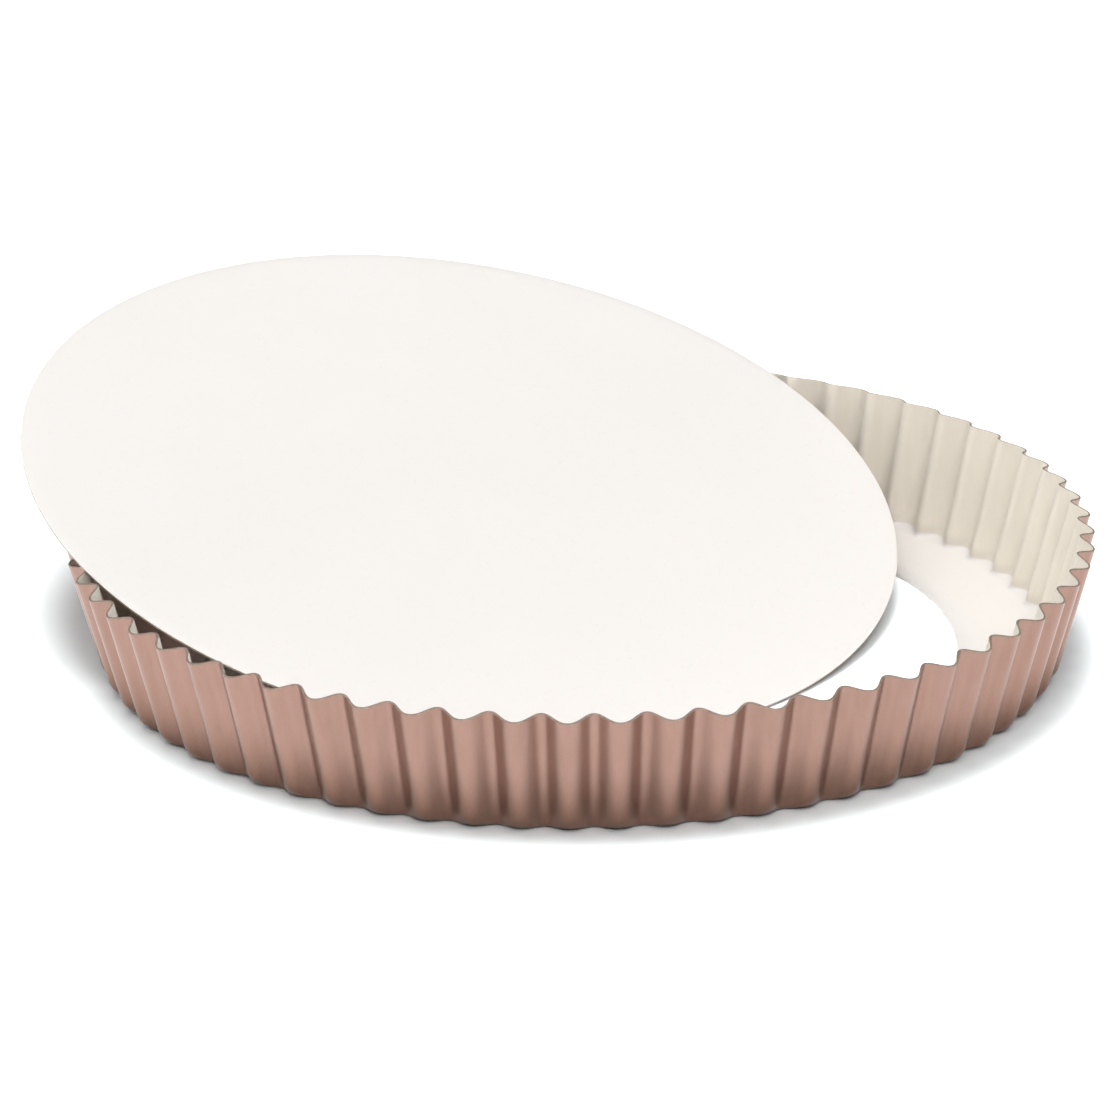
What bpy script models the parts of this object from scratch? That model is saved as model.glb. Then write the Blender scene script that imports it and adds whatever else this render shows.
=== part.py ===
"""Fluted tart pan: a stamped ring with an inward ledge, and the loose flat base that drops into it.

Metres, +Z up. The pan stands on Z = 0, and the origin is the middle of the floor that ring and base
cover together. The base leans out of the ring: its low edge stands on the table inside the hole, and
its underside lies on the rim at two points. Lifting it straight up takes it out of the ring.
"""

import math

import bmesh
import bpy
from mathutils import Matrix, Vector

# Ring, measured outside the sheet
RIM_RADIUS = 0.1405
RIM_HEIGHT = 0.0349
RIM_WAVE = 0.0006  # how far the rim dips at a lobe and rises at a groove
FLUTE_COUNT = 64
FLUTE_DEPTH = 0.0040
LOBE_WIDENING = 0.09  # 0 is a plain sine wave; more makes the lobes broad and the grooves narrow
LOBE_TOE_HEIGHT = 0.005  # a lobe curves in to the ledge below this height
LOBE_AZIMUTH = math.radians(-1.51)
FLOOR_GROOVE_RADIUS = 0.1272  # where a groove's wall would meet the floor if the corner were sharp
CORNER_RADIUS = 0.0018
HOLE_RADIUS = 0.1032
RING_SHEET = 0.0006
COLUMNS_PER_FLUTE = 6
CORNER_STEPS = 1

# Base
BASE_RADIUS = 0.1235
BASE_SHEET = 0.0008
BASE_EDGE_ROUND = 0.0002
BASE_SEGMENTS = 128
BASE_TILT = math.radians(15.2)
LOW_SIDE_AZIMUTH = math.radians(-49.4)
BASE_SHIFT = 0.0515  # level distance from the ring's axis to the base's middle
BASE_SHIFT_AZIMUTH = math.radians(129.9)
CLEARANCE = 0.00035  # left under the base's low edge, and between its underside and the rim

# Where the base's middle lies: the shift is level, and the low edge is just above the floor
BASE_NORMAL = Matrix.Rotation(LOW_SIDE_AZIMUTH, 3, "Z") @ Vector((math.sin(BASE_TILT), 0, math.cos(BASE_TILT)))
BASE_OFFSET = Vector(
    (
        BASE_SHIFT * math.cos(BASE_SHIFT_AZIMUTH),
        BASE_SHIFT * math.sin(BASE_SHIFT_AZIMUTH),
        CLEARANCE + BASE_RADIUS * math.sin(BASE_TILT) + BASE_SHEET / 2 * math.cos(BASE_TILT),
    )
)


def ring_centre():
    """Floor point under the ring's axis that puts the middle of the whole footprint at the origin."""
    reach_x = BASE_RADIUS * math.sqrt(1 - BASE_NORMAL.x**2)
    reach_y = BASE_RADIUS * math.sqrt(1 - BASE_NORMAL.y**2)
    past_left = RIM_RADIUS + BASE_OFFSET.x - reach_x
    past_back = BASE_OFFSET.y + reach_y - RIM_RADIUS
    return Vector((-past_left / 2, -past_back / 2, 0))


def collection(name, parent):
    made = bpy.data.collections.new(name)
    parent.children.link(made)
    return made


def finish(name, colour, roughness, metallic):
    """A Principled material."""
    material = bpy.data.materials.new(name)
    material.use_nodes = True
    shader = material.node_tree.nodes["Principled BSDF"]
    shader.inputs["Base Color"].default_value = (*colour, 1)
    shader.inputs["Roughness"].default_value = roughness
    shader.inputs["Metallic"].default_value = metallic
    return material


def object_from(bm, name, target):
    mesh = bpy.data.meshes.new(name)
    bm.to_mesh(mesh)
    bm.free()
    made = bpy.data.objects.new(name, mesh)
    target.objects.link(made)
    return made


def shade_round(piece, sharp_degrees):
    piece.data.shade_smooth()
    piece.data.set_sharp_from_angle(angle=math.radians(sharp_degrees))


def groove_profile():
    """Outside of the sheet at a groove, as (radius, height) from the hole's edge to the rim."""
    groove_rim = RIM_RADIUS - FLUTE_DEPTH
    slope = math.atan2(RIM_HEIGHT, groove_rim - FLOOR_GROOVE_RADIUS)
    setback = CORNER_RADIUS * math.tan(slope / 2)
    centre_radius = FLOOR_GROOVE_RADIUS - setback
    points = [(HOLE_RADIUS, 0)]
    for step in range(CORNER_STEPS + 1):
        turn = slope * step / CORNER_STEPS
        points.append(
            (
                centre_radius + CORNER_RADIUS * math.sin(turn),
                CORNER_RADIUS * (1 - math.cos(turn)),
            )
        )
    toe_share = LOBE_TOE_HEIGHT / RIM_HEIGHT
    toe_radius = FLOOR_GROOVE_RADIUS + toe_share * (groove_rim - FLOOR_GROOVE_RADIUS)
    points.append((toe_radius, LOBE_TOE_HEIGHT))
    points.append((groove_rim, RIM_HEIGHT))
    return points


def flute_wave(angle):
    """1 in the middle of a lobe and -1 in the middle of a groove."""
    turn = FLUTE_COUNT * angle
    return math.cos(turn) + LOBE_WIDENING * (1 - math.cos(2 * turn))


def toe_share_of_depth(height):
    """How much of its depth a flute has at this height: a quarter ellipse up from the ledge."""
    if height >= LOBE_TOE_HEIGHT:
        return 1
    below = 1 - height / LOBE_TOE_HEIGHT
    return math.sqrt(1 - below**2)


def push_into_flutes(vertex):
    """Moves a point of the turned groove profile out and down to the fluted surface."""
    angle = math.atan2(vertex.co.y, vertex.co.x)
    radius = math.hypot(vertex.co.x, vertex.co.y)
    height = vertex.co.z
    wave = flute_wave(angle)
    fluted = radius + FLUTE_DEPTH * (1 + wave) / 2 * toe_share_of_depth(height)
    vertex.co.x = fluted * math.cos(angle)
    vertex.co.y = fluted * math.sin(angle)
    vertex.co.z = height - RIM_WAVE * wave * height / RIM_HEIGHT


def make_ring(target, outside, inside):
    """The turned profile pushed into flutes, then given its sheet thickness on the inside."""
    bm = bmesh.new()
    points = [bm.verts.new((radius, 0, height)) for radius, height in groove_profile()]
    edges = [bm.edges.new(pair) for pair in zip(points, points[1:])]
    bmesh.ops.spin(
        bm,
        geom=points + edges,
        cent=(0, 0, 0),
        axis=(0, 0, 1),
        angle=2 * math.pi,
        steps=FLUTE_COUNT * COLUMNS_PER_FLUTE,
        use_merge=True,
    )
    for vertex in bm.verts:
        push_into_flutes(vertex)
    bmesh.ops.recalc_face_normals(bm, faces=bm.faces)
    ledge = min(bm.faces, key=lambda face: face.calc_center_median().z)
    if ledge.normal.z > 0:
        bmesh.ops.reverse_faces(bm, faces=bm.faces)
    ring = object_from(bm, "fluted_ring", target)
    ring.location = ring_centre()
    ring.rotation_euler.z = LOBE_AZIMUTH
    ring.data.materials.append(outside)
    ring.data.materials.append(inside)
    shade_round(ring, 50)
    sheet = ring.modifiers.new("sheet", "SOLIDIFY")
    sheet.thickness = RING_SHEET
    sheet.offset = -1
    sheet.use_even_offset = True
    sheet.material_offset = 1
    return ring


def make_base(target, coating):
    """The flat disc, its origin at its middle, which is on the line that it lifts along."""
    bm = bmesh.new()
    bmesh.ops.create_cone(
        bm,
        cap_ends=True,
        segments=BASE_SEGMENTS,
        radius1=BASE_RADIUS,
        radius2=BASE_RADIUS,
        depth=BASE_SHEET,
    )
    base = object_from(bm, "loose_base", target)
    base.location = ring_centre() + BASE_OFFSET
    base.rotation_euler = BASE_NORMAL.to_track_quat("Z", "Y").to_euler()
    base.data.materials.append(coating)
    shade_round(base, 40)
    edge = base.modifiers.new("edge", "BEVEL")
    edge.width = BASE_EDGE_ROUND
    edge.segments = 1
    edge.limit_method = "ANGLE"
    edge.angle_limit = math.radians(60)
    return base


def main():
    for old in list(bpy.data.objects):
        bpy.data.objects.remove(old, do_unlink=True)
    pan = collection("tart_pan", bpy.context.scene.collection)
    rose = finish("rose_coating", (0.50, 0.27, 0.20), 0.42, 0.35)
    cream_inside = finish("cream_lining", (0.90, 0.86, 0.81), 0.38, 0.0)
    cream_base = finish("cream_base", (0.93, 0.89, 0.85), 0.38, 0.0)
    make_ring(pan, rose, cream_inside)
    make_base(pan, cream_base)


main()
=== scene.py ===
"""Looks of the fluted tart pan: the stamped two-colour ring and the loose base that leans out of it.

Metres, +Z up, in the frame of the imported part.
"""

import math

import bpy
import numpy as np
from mathutils import Matrix, Vector


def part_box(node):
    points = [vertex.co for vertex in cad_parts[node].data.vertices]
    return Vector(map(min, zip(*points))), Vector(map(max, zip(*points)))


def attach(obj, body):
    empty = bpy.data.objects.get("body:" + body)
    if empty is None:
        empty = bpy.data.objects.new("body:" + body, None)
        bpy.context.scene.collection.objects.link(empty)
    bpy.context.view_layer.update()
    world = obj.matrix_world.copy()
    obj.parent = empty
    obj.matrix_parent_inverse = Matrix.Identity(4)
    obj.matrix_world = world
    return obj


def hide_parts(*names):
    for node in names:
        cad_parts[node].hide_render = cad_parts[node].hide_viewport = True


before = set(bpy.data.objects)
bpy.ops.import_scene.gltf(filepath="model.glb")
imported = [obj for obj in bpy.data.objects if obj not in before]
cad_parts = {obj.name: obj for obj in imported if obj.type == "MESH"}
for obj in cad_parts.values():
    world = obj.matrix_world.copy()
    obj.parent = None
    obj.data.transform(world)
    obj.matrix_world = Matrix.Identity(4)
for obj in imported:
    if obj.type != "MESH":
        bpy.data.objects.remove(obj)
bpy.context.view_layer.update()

# Ring, measured outside the sheet, as in the part
RIM_RADIUS = 0.1405
RIM_HEIGHT = 0.0349
RIM_WAVE = 0.0006
FLUTE_COUNT = 64
FLUTE_DEPTH = 0.0040
LOBE_WIDENING = 0.09
LOBE_TOE_HEIGHT = 0.005
LOBE_AZIMUTH = math.radians(-1.51)
FLOOR_GROOVE_RADIUS = 0.1272
CORNER_RADIUS = 0.0018
HOLE_RADIUS = 0.1032
RING_SHEET = 0.0006
UNEVENNESS = ((0.012, 5, 0.7), (0.010, 23, 2.1))  # share of depth lost, times round the ring, starting turn
CUT_EDGE_BULGE = 0.00015
BARE_LINE = 0.0002  # how far the cut edge's colour shows down the outside
COLUMNS_PER_FLUTE = 20
LEDGE_ROWS = 4
TOE_ROWS = 13
WALL_ROWS = 8
CUT_EDGE_ROWS = 3

# Base
BASE_RADIUS = 0.1235
BASE_SHEET = 0.0008
BASE_EDGE_ROUND = 0.00025
BASE_EDGE_STEPS = 3
BASE_FLAT_RADII = (0.03, 0.06, 0.09, 0.11, 0.12)  # rows of points across both flat faces
BASE_COLUMNS = 256
BASE_TILT = math.radians(15.2)
LOW_SIDE_AZIMUTH = math.radians(-49.4)

# Colours. Each coating drifts between its first two.
ROSE_DEEP = (0.282, 0.162, 0.122)
ROSE_PALE = (0.310, 0.173, 0.141)
ROSE_STREAK = (0.336, 0.200, 0.160)
# painted light: a paler rose for the flanks beside each groove, offsetting their shading
ROSE_FLANK_PAINTED_LIGHT = (0.345, 0.205, 0.162)
# painted shade: a darker, browner rose for the foot of the wall, near the table
ROSE_FOOT_SHADE = (0.196, 0.097, 0.062)
ROSE_FLAKE = (0.470, 0.325, 0.270)
CREAM_DEEP = (0.835, 0.797, 0.768)
CREAM_PALE = (0.845, 0.803, 0.778)
CREAM_SPECK = (0.760, 0.700, 0.640)
# painted shade: the same cream coating made darker and warmer up the wall than on the ledge
LINING_WALL_SHADED = (0.798, 0.732, 0.640)
CUT_DEEP = (0.250, 0.178, 0.138)
CUT_PALE = (0.355, 0.262, 0.208)
TABLE_DEEP = (0.905, 0.945, 0.955)
TABLE_PALE = (0.913, 0.953, 0.963)

# Heights where painted shade changes: the top of the rose foot's shade, the start of the wall's shaded
# cream and the span of the lining's foot shade
FOOT_SHADE_TOP = 0.022
SHADED_WALL_START = 0.0017
SHADED_WALL_FULL = 0.0021
LINING_SHADE_START = 0.002
LINING_SHADE_TOP = 0.0055

# Studio. A light is its name, azimuth, elevation, spread and strength, with the angles in degrees:
# azimuth 0 is the camera's side and 90 is the right.
TABLE_SIZE = 12
TABLE_DROP = 0.00005  # keeps the table clear of the ring's underside
AMBIENT_STRENGTH = 0.12
AMBIENT_COLOUR = (0.86, 1.0, 1.08)
WARM_WHITE = (1.0, 0.995, 0.98)
COOL_WHITE = (0.97, 1.0, 1.01)
PAN_LIGHTS = (
    ("left_light", -90, 48, 55, 0.85),
    ("right_light", 62, 48, 55, 0.58),
    ("back_light", 165, 60, 55, 0.42),
)
TABLE_FILLS = (
    ("table_fill_left", -105, 36, 50, 0.72),
    ("table_fill_right", 62, 58, 50, 0.55),
)

# Camera, from the floor under the ring's axis
CAMERA_OFFSET = Vector((0, -1.7192, 0.6796))
CAMERA_YAW = math.radians(-0.190)
CAMERA_PITCH = math.radians(20.829)
CAMERA_ROLL = math.radians(-0.472)
CAMERA_LENS_MM = 216.03


def middle_of(node):
    low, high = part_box(node)
    return (low + high) / 2


RING_MIDDLE = middle_of("fluted_ring")
RING_CENTRE = Vector((RING_MIDDLE.x, RING_MIDDLE.y, 0))
BASE_CENTRE = middle_of("loose_base")


# Materials

NOISE_LOW, NOISE_HIGH = 0.3, 0.7  # nearly all noise values lie between these


class Graph:
    """A new Principled material and short ways to add nodes to it."""

    def __init__(self, name):
        self.material = bpy.data.materials.new(name)
        self.material.use_nodes = True
        self.tree = self.material.node_tree
        self.shader = self.tree.nodes["Principled BSDF"]
        coordinates = self.tree.nodes.new("ShaderNodeTexCoord")
        self.place = coordinates.outputs["Object"]

    def link(self, source, target):
        self.tree.links.new(source, target)

    def give(self, socket, value):
        """Sets a socket to a number or a colour, or links another node's output to it."""
        if isinstance(value, bpy.types.NodeSocket):
            self.link(value, socket)
        elif socket.type == "RGBA":
            socket.default_value = (*value, 1)
        else:
            socket.default_value = value

    def noise(self, scale, detail=2.0, roughness=0.5, flat=None):
        """Raw noise, drawn out upwards where flat is a share below 1."""
        node = self.tree.nodes.new("ShaderNodeTexNoise")
        node.inputs["Scale"].default_value = scale
        node.inputs["Detail"].default_value = detail
        node.inputs["Roughness"].default_value = roughness
        place = self.place
        if flat:
            stretch = self.tree.nodes.new("ShaderNodeMapping")
            stretch.inputs["Scale"].default_value = (1, 1, flat)
            self.link(place, stretch.inputs["Vector"])
            place = stretch.outputs["Vector"]
        self.link(place, node.inputs["Vector"])
        return node.outputs["Fac"]

    def cloudy(self, low, high, *noise):
        """Noise that runs from low to high."""
        return self.remap(self.noise(*noise), NOISE_LOW, NOISE_HIGH, low, high)

    def cells(self, scale):
        """A random value in each cell."""
        node = self.tree.nodes.new("ShaderNodeTexVoronoi")
        node.inputs["Scale"].default_value = scale
        self.link(self.place, node.inputs["Vector"])
        split = self.tree.nodes.new("ShaderNodeSeparateColor")
        self.link(node.outputs["Color"], split.inputs["Color"])
        return split.outputs["Red"]

    def axes(self):
        split = self.tree.nodes.new("ShaderNodeSeparateXYZ")
        self.link(self.place, split.inputs["Vector"])
        return split.outputs

    def maths(self, operation, *values):
        node = self.tree.nodes.new("ShaderNodeMath")
        node.operation = operation
        for value, socket in zip(values, node.inputs):
            self.give(socket, value)
        return node.outputs["Value"]

    def wave(self):
        """1 along the middle of each lobe of the ring's wall and -1 along the middle of each groove."""
        axes = self.axes()
        around = self.maths("ARCTAN2", axes["Y"], axes["X"])
        turn = self.maths("MULTIPLY", self.maths("SUBTRACT", around, LOBE_AZIMUTH), FLUTE_COUNT)
        return self.maths("COSINE", turn)

    def remap(self, value, low, high, to_low, to_high, smooth=False):
        node = self.tree.nodes.new("ShaderNodeMapRange")
        if smooth:
            node.interpolation_type = "SMOOTHSTEP"
        node.inputs["From Min"].default_value = low
        node.inputs["From Max"].default_value = high
        node.inputs["To Min"].default_value = to_low
        node.inputs["To Max"].default_value = to_high
        self.link(value, node.inputs["Value"])
        return node.outputs["Result"]

    def mix(self, share, first, second):
        """Colour first, going to colour second where share is 1."""
        node = self.tree.nodes.new("ShaderNodeMix")
        node.data_type = "RGBA"
        self.link(share, node.inputs["Factor"])
        sockets = [s for s in node.inputs if s.type == "RGBA"]
        for value, socket in zip((first, second), sockets):
            self.give(socket, value)
        return next(s for s in node.outputs if s.type == "RGBA")

    def bump(self, value, strength, distance, under=None):
        node = self.tree.nodes.new("ShaderNodeBump")
        node.inputs["Strength"].default_value = strength
        node.inputs["Distance"].default_value = distance
        self.link(value, node.inputs["Height"])
        if under:
            self.link(under, node.inputs["Normal"])
        return node.outputs["Normal"]

    def set(self, **values):
        """Gives the shader's sockets their values: Base_Color is the socket Base Color."""
        for name, value in values.items():
            self.give(self.shader.inputs[name.replace("_", " ")], value)


def scaled(colour, share):
    return [share * c for c in colour]


def shade_fluted_wall(g, body):
    """The rose wall: paler on the flanks beside each groove, painted light that offsets their shading, and
    darker and browner towards the foot, painted shade near the table.
    """
    wave = g.wave()
    # painted light: the flanks beside each groove are lifted towards a paler rose
    from_flank = g.maths("ABSOLUTE", g.maths("ADD", wave, 0.45))
    body = g.mix(g.remap(from_flank, 0.0, 0.5, 0.5, 0.0, smooth=True), body, ROSE_FLANK_PAINTED_LIGHT)
    # painted shade: darker and browner towards the foot, more on the lobes than in the grooves
    foot = g.remap(g.axes()["Z"], 0.0, FOOT_SHADE_TOP, 1.0, 0.0, smooth=True)
    painted_foot_shade = g.maths("MULTIPLY", foot, g.remap(wave, -0.6, 0.4, 0.5, 0.78, smooth=True))
    return g.mix(painted_foot_shade, body, ROSE_FOOT_SHADE)


def rose_coating(name, fluted_wall):
    """Satin rose enamel with a fine metal flake."""
    g = Graph(name)
    streak = g.remap(g.noise(420, 2, 0.5, flat=0.06), 0.35, 0.7, 0.0, 0.5)
    flake = g.remap(g.cells(9000), 0.6, 1.0, 0.0, 0.18)
    body = g.mix(g.cloudy(0.0, 1.0, 45, 4, 0.55), ROSE_DEEP, ROSE_PALE)
    body = g.mix(streak, body, ROSE_STREAK)
    # On the wall the rose also carries painted light on the flanks and painted shade towards the foot.
    if fluted_wall:
        body = shade_fluted_wall(g, body)
    peel = g.bump(g.noise(500, 2), 0.12, 0.00003)
    g.set(
        Base_Color=g.mix(flake, body, ROSE_FLAKE),
        Roughness=g.cloudy(0.28, 0.34, 260, 3),
        Normal=g.bump(g.cells(9000), 0.05, 0.000005, peel),
        Metallic=0.8,
        IOR=1.5,
        Coat_Weight=0.15,
        Coat_Roughness=0.35,
    )
    return g.material


def wall_lining(g, body):
    """The cream up the wall, darker and warmer than on the ledge as painted shade, with faint streaks,
    paler along the grooves as painted light, and a soft painted shade at its foot.
    """
    streak = g.remap(g.noise(150, 3, 0.6, flat=0.05), 0.35, 0.65, 0.0, 1.0)
    wall = g.mix(streak, LINING_WALL_SHADED, scaled(LINING_WALL_SHADED, 1.07))
    # painted light: the lining is lightened along each groove, offsetting the shading of its flanks
    painted_groove_light = g.remap(g.wave(), -1.0, -0.54, 1.0, 0.0, smooth=True)
    wall = g.mix(painted_groove_light, wall, scaled(LINING_WALL_SHADED, 1.11))
    height = g.axes()["Z"]
    shade = g.remap(height, LINING_SHADE_START, LINING_SHADE_TOP, 0.6, 0.0, smooth=True)
    wall = g.mix(shade, wall, scaled(LINING_WALL_SHADED, 0.78))
    # painted shade: above this height the ledge's cream gives way to the wall's shaded cream
    return g.mix(g.remap(height, SHADED_WALL_START, SHADED_WALL_FULL, 0.0, 1.0, smooth=True), body, wall)


def cream_coating(name, fluted_wall):
    """Smooth cream ceramic coating with a faint orange peel and pin-point specks."""
    g = Graph(name)
    speck = g.remap(g.cells(1100), 0.93, 1.0, 0.0, 0.22)
    body = g.mix(g.cloudy(0.0, 1.0, 22, 3), CREAM_DEEP, CREAM_PALE)
    # On the wall the lining carries painted shade and painted light.
    if fluted_wall:
        body = wall_lining(g, body)
    g.set(
        Base_Color=g.mix(speck, body, CREAM_SPECK),
        Roughness=g.cloudy(0.34, 0.42, 350, 3),
        Normal=g.bump(g.noise(750, 2), 0.2, 0.00003),
        Metallic=0.0,
        IOR=1.5,
    )
    return g.material


def cut_edge():
    """The sheared edge of the sheet, where the coatings meet over the steel."""
    g = Graph("cut_edge")
    g.set(
        Base_Color=g.mix(g.cloudy(0.0, 1.0, 1500, 3), CUT_DEEP, CUT_PALE),
        Roughness=g.cloudy(0.45, 0.65, 2200, 2),
        Metallic=0.3,
        IOR=1.5,
    )
    return g.material


def table_white():
    """A shade cool, so that the rose bounce leaves the table's shadows neutral."""
    g = Graph("floor_white")
    g.set(
        Base_Color=g.mix(g.noise(3, 2), TABLE_DEEP, TABLE_PALE),
        Roughness=0.9,
        Specular_IOR_Level=0.1,
    )
    return g.material


ROSE, CREAM, EDGE = 0, 1, 2  # places of the materials on both pieces


# Ring


def groove_profile():
    """Outside of the sheet at a groove, as rows of (radius, height) from the hole's edge to the rim."""
    groove_rim = RIM_RADIUS - FLUTE_DEPTH
    slope = math.atan2(RIM_HEIGHT, groove_rim - FLOOR_GROOVE_RADIUS)
    hole_edge = HOLE_RADIUS + CUT_EDGE_BULGE
    corner_start = FLOOR_GROOVE_RADIUS - CORNER_RADIUS * math.tan(slope / 2)
    corner_top = CORNER_RADIUS * (1 - math.cos(slope))
    top = RIM_HEIGHT - CUT_EDGE_BULGE
    rows = [(radius, 0.0) for radius in np.linspace(hole_edge, corner_start, LEDGE_ROWS, endpoint=False)]
    toe_turns = np.linspace(0, math.pi / 2, TOE_ROWS)
    heights = [LOBE_TOE_HEIGHT * (1 - math.cos(turn)) for turn in toe_turns]
    heights += [*np.linspace(LOBE_TOE_HEIGHT, top - BARE_LINE, WALL_ROWS + 1)[1:], top]
    for height in heights:
        if height < corner_top:
            turn = math.acos(1 - height / CORNER_RADIUS)
            radius = corner_start + CORNER_RADIUS * math.sin(turn)
        else:
            radius = FLOOR_GROOVE_RADIUS + height / math.tan(slope)
        rows.append((radius, height))
    return np.array(rows)


def fluted(rows, angles):
    """Points of the outside, indexed by row and column."""
    radius, height = rows[:, :1], rows[:, 1:]
    turn = FLUTE_COUNT * angles
    wave = np.cos(turn) + LOBE_WIDENING * (1 - np.cos(2 * turn))
    lost = sum(share * (1 + np.sin(times * angles + start)) for share, times, start in UNEVENNESS)
    below = np.clip(1 - height / LOBE_TOE_HEIGHT, 0, 1)
    toe = np.sqrt(1 - below**2)
    out = radius + FLUTE_DEPTH * (1 - lost) * (1 + wave) / 2 * toe
    up = height - RIM_WAVE * wave * height / RIM_HEIGHT
    return np.stack([out * np.cos(angles), out * np.sin(angles), up + 0 * out], axis=-1)


def outward(points, along):
    """Unit normals of a closed band of points, pointing away from the lining."""
    up = np.gradient(points, along, axis=0)
    wide = np.concatenate([points[:, -1:], points, points[:, :1]], axis=1)
    around = np.gradient(wide, axis=1)[:, 1:-1]
    normal = np.cross(around, up)
    return normal / np.linalg.norm(normal, axis=-1, keepdims=True)


def bulge(edge, before):
    """How far the cut edge bulges past this row, going on from the row before it."""
    lean = edge - before
    return lean * (CUT_EDGE_BULGE / np.linalg.norm(lean, axis=-1, keepdims=True))


def cut(first, last, lean):
    """Rows of a rounded sheet edge, from after first to before last, bulging by lean."""
    middle = (first + last) / 2
    half = (first - last) / 2
    turns = np.linspace(0, math.pi, CUT_EDGE_ROWS + 2)[1:-1]
    return [middle + half * math.cos(turn) + lean * math.sin(turn) for turn in turns]


def piece_from(name, points, faces, owners, materials, turn):
    """A smooth piece whose points are turned in the mesh, so that its box stays true."""
    mesh = bpy.data.meshes.new(name)
    mesh.from_pydata(points, [], faces)
    mesh.transform(turn.to_4x4())
    for material in materials:
        mesh.materials.append(material)
    mesh.polygons.foreach_set("material_index", owners)
    mesh.shade_smooth()
    made = bpy.data.objects.new(name, mesh)
    bpy.context.scene.collection.objects.link(made)
    return made


def make_ring(materials):
    """One closed shell: up the outside, over the rim, down the lining and round the hole's edge."""
    rows = groove_profile()
    columns = FLUTE_COUNT * COLUMNS_PER_FLUTE
    angles = np.arange(columns) * 2 * math.pi / columns
    outside = fluted(rows, angles)
    along = np.concatenate([[0], np.cumsum(np.hypot(*np.diff(rows, axis=0).T))])
    inside = outside - RING_SHEET * outward(outside, along)
    bands = [
        (ROSE, outside[:-1]),
        (EDGE, [outside[-1], *cut(outside[-1], inside[-1], bulge(outside[-1], outside[-2]))]),
        (CREAM, inside[::-1]),
        (CREAM, cut(inside[0], outside[0], bulge(outside[0], outside[1]))),
    ]
    shell = [row for _, band in bands for row in band]
    marks = [mark for mark, band in bands for _ in band]
    faces, owners = [], []
    for i in range(len(shell)):
        after = (i + 1) % len(shell)
        below, above = i * columns, after * columns
        for j in range(columns):
            k = (j + 1) % columns
            faces.append((below + j, below + k, above + k, above + j))
            owners.append(max(marks[i], marks[after]))
    points = np.concatenate(shell).tolist()
    turn = Matrix.Rotation(LOBE_AZIMUTH, 3, "Z")
    ring = piece_from("ring_sheet", points, faces, owners, materials, turn)
    ring.location = RING_CENTRE
    return ring


# Base


def base_profile():
    """Rows of (radius, height, material) from the top's middle over the edge to the underside's middle."""
    half = BASE_SHEET / 2
    flat = BASE_RADIUS - BASE_EDGE_ROUND
    turns = [math.pi / 2 * step / BASE_EDGE_STEPS for step in range(BASE_EDGE_STEPS + 1)]
    rows = [(radius, half, CREAM) for radius in BASE_FLAT_RADII]
    for turn in turns:
        drop = BASE_EDGE_ROUND * (1 - math.cos(turn))
        rows.append((flat + BASE_EDGE_ROUND * math.sin(turn), half - drop, CREAM))
    for turn in turns:
        rise = BASE_EDGE_ROUND * (1 - math.sin(turn))
        mark = EDGE if turn == 0 else CREAM
        rows.append((flat + BASE_EDGE_ROUND * math.cos(turn), rise - half, mark))
    rows += [(radius, -half, ROSE) for radius in reversed(BASE_FLAT_RADII)]
    return rows


def make_base(materials):
    """The flat disc, leaning about its middle. Each band of faces has its lower row's material."""
    rows = base_profile()
    points = [(0, 0, BASE_SHEET / 2)]
    for radius, height, _ in rows:
        for j in range(BASE_COLUMNS):
            angle = 2 * math.pi * j / BASE_COLUMNS
            points.append((radius * math.cos(angle), radius * math.sin(angle), height))
    points.append((0, 0, -BASE_SHEET / 2))
    last = len(points) - 1
    faces, owners = [], []
    for j in range(BASE_COLUMNS):
        k = (j + 1) % BASE_COLUMNS
        faces.append((0, 1 + j, 1 + k))
        owners.append(CREAM)
        for i in range(len(rows) - 1):
            above, below = 1 + i * BASE_COLUMNS, 1 + (i + 1) * BASE_COLUMNS
            faces.append((above + j, below + j, below + k, above + k))
            owners.append(rows[i + 1][2])
        under = 1 + (len(rows) - 1) * BASE_COLUMNS
        faces.append((last, under + k, under + j))
        owners.append(ROSE)
    leaning = Vector((math.sin(BASE_TILT), 0, math.cos(BASE_TILT)))
    normal = Matrix.Rotation(LOW_SIDE_AZIMUTH, 3, "Z") @ leaning
    turn = normal.to_track_quat("Z", "Y").to_matrix()
    base = piece_from("base_disc", points, faces, owners, materials, turn)
    base.location = BASE_CENTRE
    return base


# Studio


def make_floor():
    low = (0, 0, -TABLE_DROP)
    bpy.ops.mesh.primitive_grid_add(x_subdivisions=4, y_subdivisions=4, size=TABLE_SIZE, location=low)
    floor = bpy.context.object
    floor.name = "floor"
    floor.data.materials.append(table_white())
    return floor


def sun(name, azimuth, elevation, spread, strength, colour):
    """A wide soft light."""
    light = bpy.data.lights.new(name, "SUN")
    light.angle = math.radians(spread)
    light.energy = strength
    light.color = colour
    made = bpy.data.objects.new(name, light)
    bpy.context.scene.collection.objects.link(made)
    a, e = math.radians(azimuth), math.radians(elevation)
    towards = Vector((math.sin(a) * math.cos(e), -math.cos(a) * math.cos(e), math.sin(e)))
    made.rotation_euler = towards.to_track_quat("Z", "Y").to_euler()
    made.location = towards * 2
    return made


def only_on(light, *receivers):
    """That light falls on the receivers alone, and the pan still casts its shadow there."""
    lit = bpy.data.collections.new(light.name + "_receivers")
    for receiver in receivers:
        lit.objects.link(receiver)
    light.light_linking.receiver_collection = lit


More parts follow.
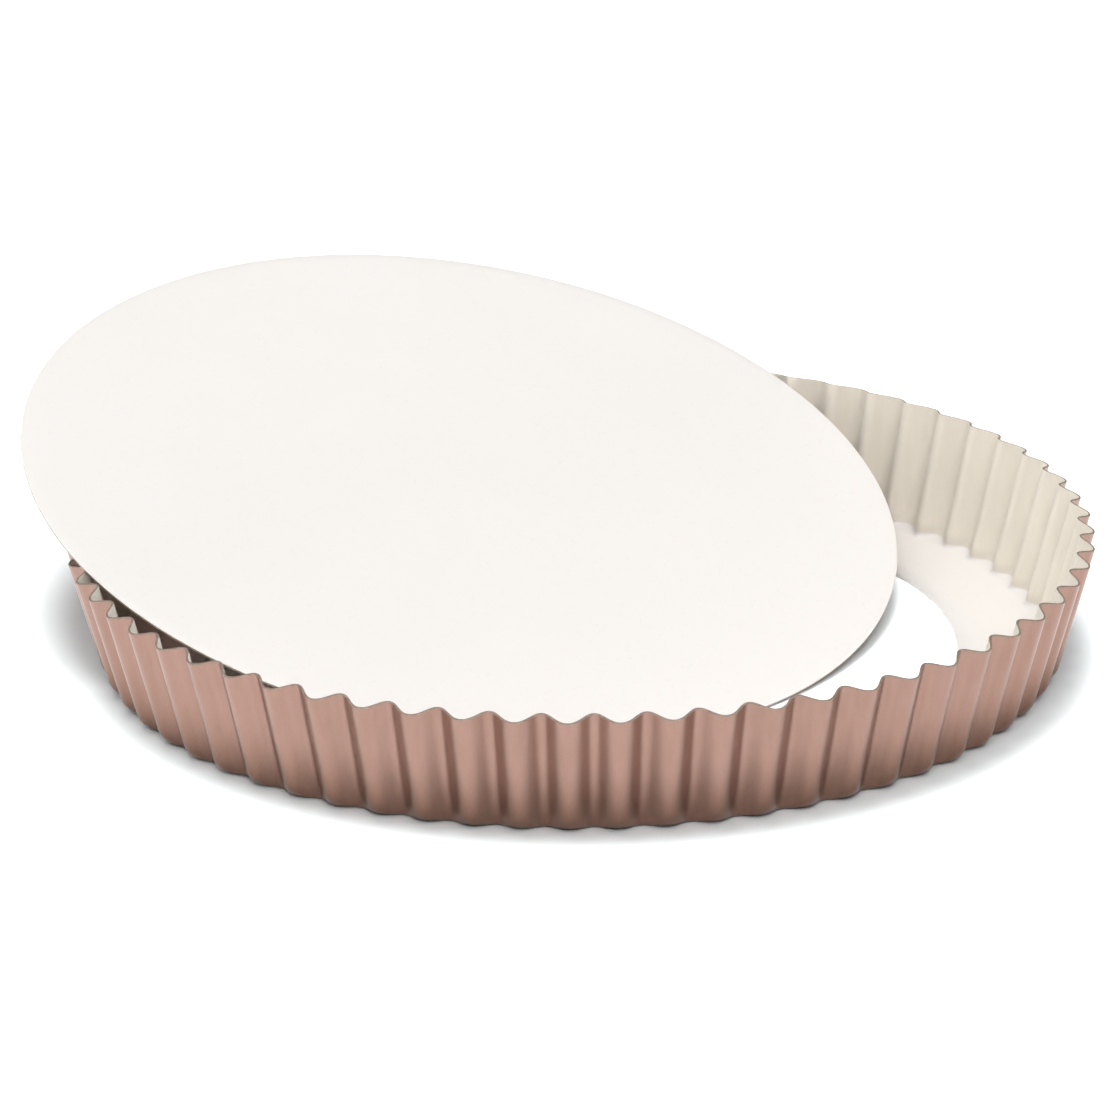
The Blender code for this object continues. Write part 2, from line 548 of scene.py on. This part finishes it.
def make_world():
    world = bpy.data.worlds.new("studio")
    bpy.context.scene.world = world
    world.use_nodes = True
    background = world.node_tree.nodes["Background"]
    background.inputs["Color"].default_value = (*AMBIENT_COLOUR, 1)
    background.inputs["Strength"].default_value = AMBIENT_STRENGTH


def make_camera():
    ahead = Vector(
        (
            math.sin(CAMERA_YAW) * math.cos(CAMERA_PITCH),
            math.cos(CAMERA_YAW) * math.cos(CAMERA_PITCH),
            -math.sin(CAMERA_PITCH),
        )
    )
    level = ahead.cross(Vector((0, 0, 1))).normalized()
    upright = level.cross(ahead)
    right = level * math.cos(CAMERA_ROLL) + upright * math.sin(CAMERA_ROLL)
    up = upright * math.cos(CAMERA_ROLL) - level * math.sin(CAMERA_ROLL)
    data = bpy.data.cameras.new("camera")
    data.sensor_width = 36
    data.lens = CAMERA_LENS_MM
    data.clip_start = 0.05
    data.clip_end = 50
    camera = bpy.data.objects.new("camera", data)
    bpy.context.scene.collection.objects.link(camera)
    turn = Matrix((right, up, -ahead)).transposed()
    camera.matrix_world = Matrix.Translation(RING_CENTRE + CAMERA_OFFSET) @ turn.to_4x4()
    bpy.context.scene.camera = camera


edge = cut_edge()

rose = rose_coating("rose_coating", fluted_wall=True)
cream_lining = cream_coating("cream_lining", fluted_wall=True)
ring = make_ring((rose, cream_lining, edge))
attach(ring, "ring")
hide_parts("fluted_ring")

rose_underside = rose_coating("rose_underside", fluted_wall=False)
cream_top = cream_coating("cream_top", fluted_wall=False)
base = make_base((rose_underside, cream_top, edge))
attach(base, "base")
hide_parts("loose_base")

floor = make_floor()
make_world()
sun("top_light", 0, 86, 55, 1.05, WARM_WHITE)
sun("front_light", 0, 40, 30, 1.15, (1.0, 0.995, 0.99))
for name, *setting in PAN_LIGHTS:
    only_on(sun(name, *setting, WARM_WHITE), ring, base)
only_on(sun("table_light", -118, 85.5, 24, 3.0, (1.0, 1.0, 1.0)), floor)
for name, *setting in TABLE_FILLS:
    only_on(sun(name, *setting, COOL_WHITE), floor)
make_camera()
bpy.context.scene.view_settings.view_transform = "Standard"
